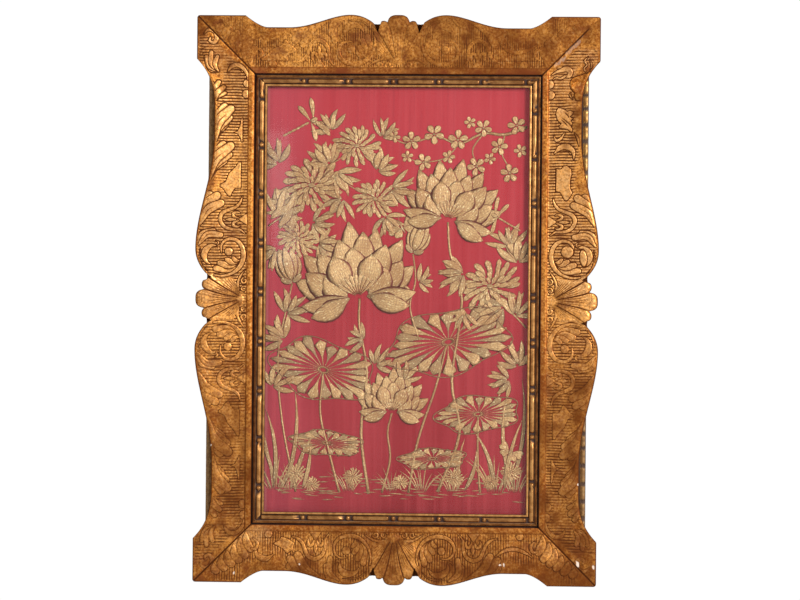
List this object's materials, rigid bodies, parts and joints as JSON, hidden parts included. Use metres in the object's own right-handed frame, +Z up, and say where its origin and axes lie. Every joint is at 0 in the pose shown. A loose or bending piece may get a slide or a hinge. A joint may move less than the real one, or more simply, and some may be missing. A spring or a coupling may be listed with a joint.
{
  "type": "silk embroidery panel in a carved gilded wood frame",
  "caption": "Flat silk panel with gold-thread embroidery behind glass, in a wavy-edged carved and gilded wood frame with a bead slip, hung on a wall.",
  "frame": {"origin": "middle of the flat back, on the backboard, where the frame lies against the wall", "axes": "+Z up along the height, +X to the right seen from the front, -Y out of the wall towards the viewer, so +Y points into the wall"},
  "size_m": [0.605, 0.0387, 0.854],
  "materials": {
    "gilding": "worn water gilding over red clay, satin, brown dirt in the cuts",
    "slip_gilding": "worn gilding, satin, dark in the grooves",
    "back_wood": "dark brown stained wood with traces of gilding at the front edge",
    "glass": "clear plain picture glass",
    "silk": "crimson silk satin with couched gold-thread embroidery",
    "board": "plain unfinished softwood board"
  },
  "bodies": {
    "root": {"rail_top": "gilding", "rail_right": "gilding", "rail_bottom": "gilding", "rail_left": "gilding", "slip_top": "slip_gilding", "slip_right": "slip_gilding", "slip_bottom": "slip_gilding", "slip_left": "slip_gilding", "back_top": "back_wood", "back_right": "back_wood", "back_bottom": "back_wood", "back_left": "back_wood", "glass": "glass", "silk": "silk", "backboard": "board"}
  },
  "joints": []
}
